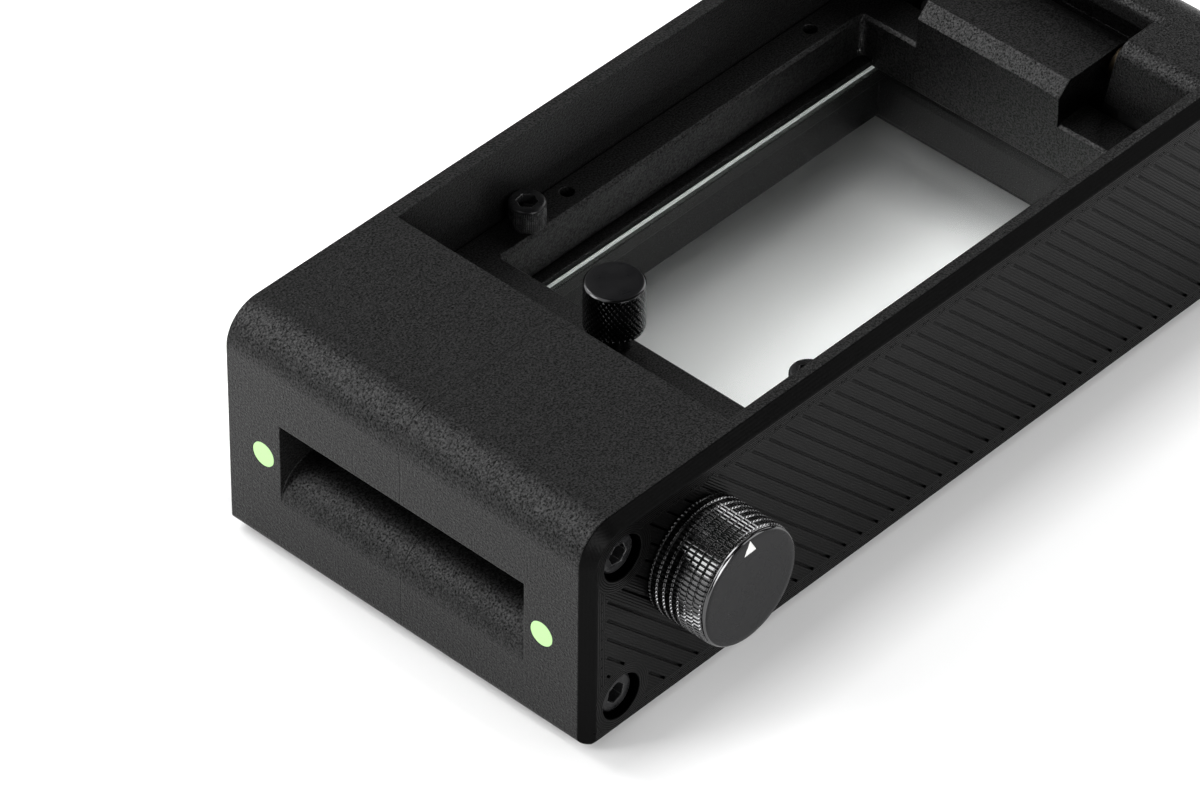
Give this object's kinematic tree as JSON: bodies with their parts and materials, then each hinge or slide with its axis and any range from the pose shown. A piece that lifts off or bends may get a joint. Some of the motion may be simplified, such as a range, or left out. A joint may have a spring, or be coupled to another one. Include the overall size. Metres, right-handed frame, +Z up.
{
  "type": "film holder",
  "caption": "Black tabletop roll-film holder for camera scanning, with a winding knob on its grooved side panel, a glass film bed and a hinged gate.",
  "frame": {"origin": "bottom centre of the bounding box, on the table under the rubber feet", "axes": "X runs along the film from the front slot to the rear slot, Y runs across the film away from the winding knob, Z is up"},
  "size_m": [0.204, 0.1086, 0.0538],
  "materials": {
    "casing": "fine-grained sintered black plastic",
    "panel": "printed black plastic with slanted grooves",
    "cover": "fine-grained sintered black plastic",
    "bed": "fine-grained sintered black plastic",
    "black_steel": "black oxide",
    "brass": "knurled insert",
    "steel": "ground",
    "spring_steel": "drawn wire",
    "magnet": "nickel plated",
    "bronze": "sintered",
    "knob_black": "black anodised, knurled",
    "pointer_white": "filled mark",
    "roller_core": "turned",
    "rubber": "soft",
    "foot_rubber": "soft",
    "carrier": "acetal",
    "felt": "felt",
    "glow": "luminous",
    "glass": "clear, bevelled"
  },
  "bodies": {
    "casing": {"body_far_half": "casing", "body_near_half": "casing", "side_panel": "panel", "panel_screws": "black_steel", "panel_inserts": "brass", "seam_dowels": "steel", "film_bed": "bed", "bed_screws": "black_steel", "bed_inserts": "brass", "base_glass": "glass", "seat_magnets": "magnet", "front_bearings": "steel", "rear_bearings": "steel", "hinge_bushes": "bronze", "drag_washer": "felt", "glow_dots": "glow", "feet": "foot_rubber", "front_springs": "spring_steel", "rear_springs": "spring_steel"},
    "winder": {"knob": "knob_black", "knob_pointer": "pointer_white", "knob_grub_screw": "black_steel", "drive_shaft": "steel", "shaft_clip": "spring_steel", "front_roller_core": "roller_core", "front_roller_tyres": "rubber"},
    "rear_winder": {"rear_shaft": "steel", "rear_roller_core": "roller_core", "rear_roller_tyres": "rubber", "rear_clip": "spring_steel"},
    "front_carrier": {"front_carriers": "carrier", "front_pinch_axle": "steel"},
    "front_pinch": {"front_pinch_roller": "roller_core"},
    "rear_carrier": {"rear_carriers": "carrier", "rear_pinch_axle": "steel"},
    "rear_pinch": {"rear_pinch_roller": "roller_core"},
    "gate": {"gate_cover": "cover", "hinge_pin": "steel", "level_screws": "black_steel", "level_inserts": "brass", "lift_insert": "brass"},
    "lifter": {"lift_knob": "knob_black", "lift_stud": "steel"}
  },
  "joints": [
    {"name": "knob_turn", "type": "hinge", "parent": "casing", "child": "winder", "pos_m": [-0.0736, 0.00855, 0.0334], "axis": [0, 1, 0], "continuous": true},
    {"name": "gate_hinge", "type": "hinge", "parent": "casing", "child": "gate", "pos_m": [0.086, 0.0099, 0.0414], "axis": [0, 1, 0], "range_deg": [0, 60]},
    {"name": "lift_knob_turn", "type": "hinge", "parent": "gate", "child": "lifter", "pos_m": [-0.0418, 0.0099, 0.0428], "axis": [0, 0, 1], "range_deg": [0, 360]},
    {"name": "front_nip", "type": "slide", "parent": "casing", "child": "front_carrier", "axis": [0, 0, 1], "range_m": [-0.0012, 0], "stiffness_N_per_m": 400, "springref_m": 0.001, "deforming": ["front_springs"]},
    {"name": "front_pinch_turn", "type": "hinge", "parent": "front_carrier", "child": "front_pinch", "pos_m": [-0.0736, 0.00855, 0.0186], "axis": [0, 1, 0], "continuous": true},
    {"name": "rear_roller_turn", "type": "hinge", "parent": "casing", "child": "rear_winder", "pos_m": [0.0874, 0.00855, 0.02987], "axis": [0, 1, 0], "continuous": true},
    {"name": "rear_nip", "type": "slide", "parent": "casing", "child": "rear_carrier", "axis": [0, 0, 1], "range_m": [-0.0012, 0], "stiffness_N_per_m": 400, "springref_m": 0.001, "deforming": ["rear_springs"]},
    {"name": "rear_pinch_turn", "type": "hinge", "parent": "rear_carrier", "child": "rear_pinch", "pos_m": [0.0874, 0.00855, 0.0186], "axis": [0, 1, 0], "continuous": true}
  ],
  "couplings": [
    {"joint": "front_pinch_turn", "follows": "knob_turn", "ratio": -1.88},
    {"joint": "rear_pinch_turn", "follows": "rear_roller_turn", "ratio": -1.175}
  ]
}
